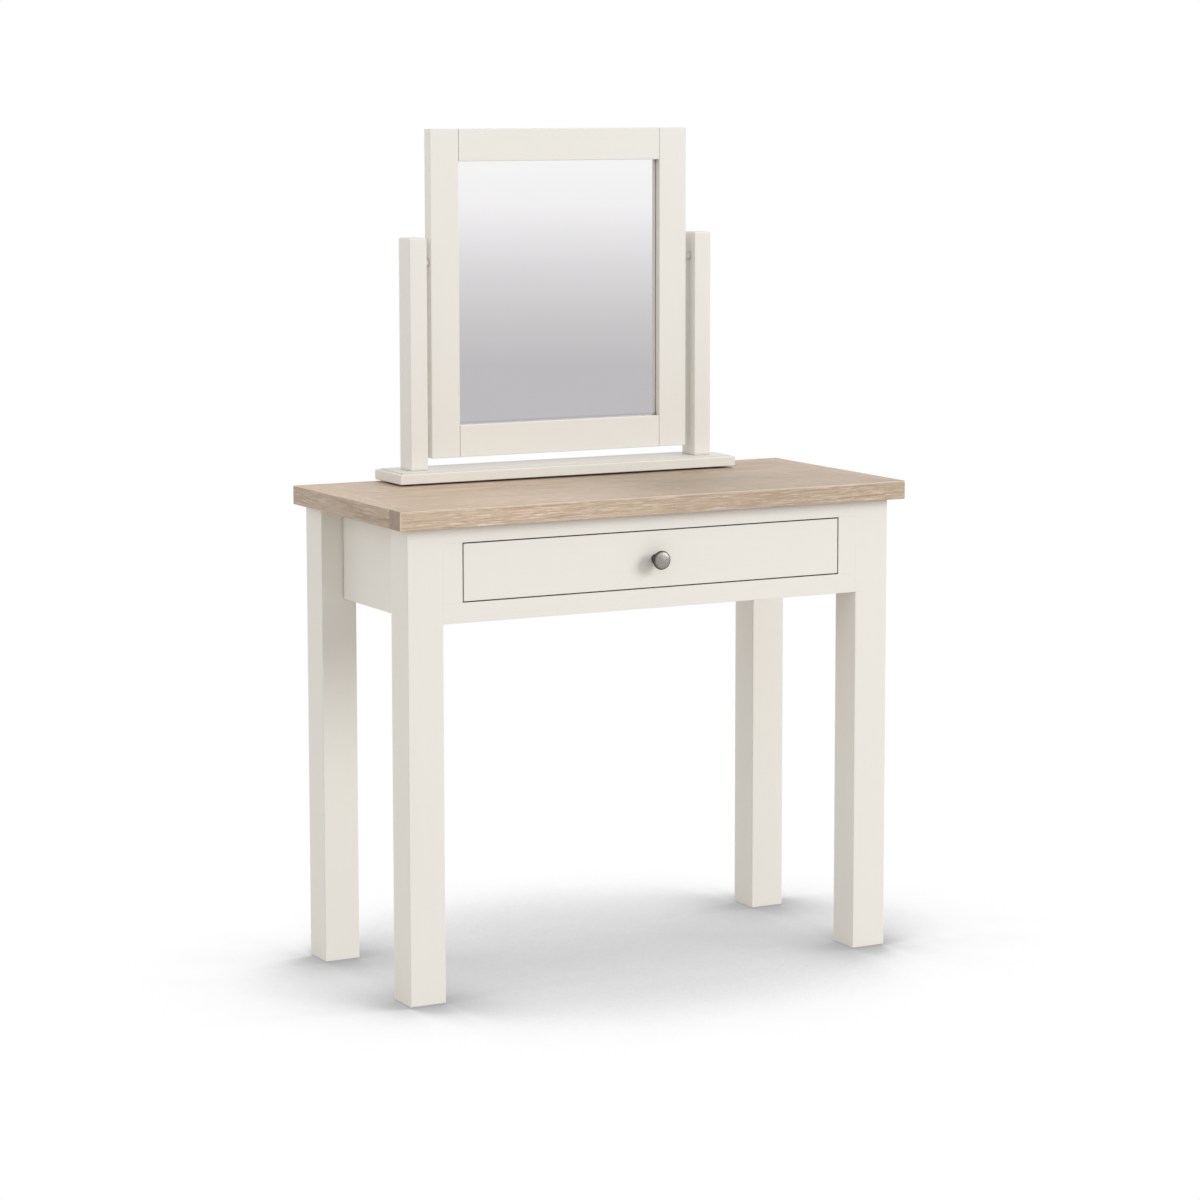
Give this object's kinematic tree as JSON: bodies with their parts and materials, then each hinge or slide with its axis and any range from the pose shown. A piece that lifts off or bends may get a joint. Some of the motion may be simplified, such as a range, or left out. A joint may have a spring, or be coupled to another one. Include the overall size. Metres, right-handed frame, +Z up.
{
  "type": "dressing table",
  "caption": "Painted dressing table with an oak top, square legs, an inset drawer with a mushroom knob, and a free-standing swing mirror on a base board.",
  "frame": {"origin": "bottom centre of the whole object, on the floor", "axes": "-Y towards the person sitting at the table (drawer front and glass face it), +X to that person's right, +Z up"},
  "size_m": [0.898, 0.41, 1.3354],
  "materials": {
    "limed_oak": "lime-washed oak, matt",
    "cream_paint": "cream paint, satin",
    "drawer_wood": "bare softwood and ply, matt",
    "pewter": "brushed pewter",
    "zinc_steel": "zinc plated",
    "black_nylon": "moulded nylon",
    "white_nylon": "moulded nylon",
    "felt": "dark felt",
    "silvered_glass": "polished",
    "back_board": "hardboard, matt"
  },
  "bodies": {
    "table": {"top_panel": "limed_oak", "top_front_lipping": "limed_oak", "top_back_lipping": "limed_oak", "top_left_lipping": "limed_oak", "top_right_lipping": "limed_oak", "leg_front_left": "cream_paint", "foot_glide_front_left": "black_nylon", "leg_front_right": "cream_paint", "foot_glide_front_right": "black_nylon", "leg_back_left": "cream_paint", "foot_glide_back_left": "black_nylon", "leg_back_right": "cream_paint", "foot_glide_back_right": "black_nylon", "side_panel_left": "cream_paint", "side_panel_right": "cream_paint", "back_panel": "cream_paint", "front_top_rail": "cream_paint", "front_bottom_rail": "cream_paint", "front_stile_left": "cream_paint", "front_stile_right": "cream_paint", "drawer_runner_left": "drawer_wood", "drawer_kicker_left": "drawer_wood", "drawer_stop_left": "drawer_wood", "top_screw_front_left": "zinc_steel", "top_screw_back_left": "zinc_steel", "drawer_runner_right": "drawer_wood", "drawer_kicker_right": "drawer_wood", "drawer_stop_right": "drawer_wood", "top_screw_front_right": "zinc_steel", "top_screw_back_right": "zinc_steel"},
    "drawer": {"drawer_front": "cream_paint", "drawer_side_left": "drawer_wood", "drawer_side_right": "drawer_wood", "drawer_back": "drawer_wood", "drawer_bottom": "drawer_wood", "drawer_knob": "pewter", "knob_screw": "zinc_steel"},
    "mirror_stand": {"mirror_base": "cream_paint", "mirror_post_left": "cream_paint", "post_screw_left": "zinc_steel", "pivot_bush_left": "white_nylon", "base_pad_front_left": "felt", "base_pad_back_left": "felt", "mirror_post_right": "cream_paint", "post_screw_right": "zinc_steel", "pivot_bush_right": "white_nylon", "base_pad_front_right": "felt", "base_pad_back_right": "felt"},
    "mirror": {"mirror_stile_left": "cream_paint", "pivot_pin_left": "zinc_steel", "pivot_collar_left": "white_nylon", "mirror_stile_right": "cream_paint", "pivot_pin_right": "zinc_steel", "pivot_collar_right": "white_nylon", "mirror_rail_top": "cream_paint", "mirror_rail_bottom": "cream_paint", "mirror_glass": "silvered_glass", "mirror_back_board": "back_board"}
  },
  "joints": [
    {"name": "drawer_slide", "type": "slide", "parent": "table", "child": "drawer", "axis": [0, -1, 0], "range_m": [0, 0.24]},
    {"name": "mirror_lift", "type": "slide", "parent": "table", "child": "mirror_stand", "axis": [0, 0, 1], "range_m": [0, 0.12]},
    {"name": "mirror_tilt", "type": "hinge", "parent": "mirror_stand", "child": "mirror", "pos_m": [0, 0.151, 1.1229], "axis": [1, 0, 0], "range_deg": [-60, 60]}
  ]
}
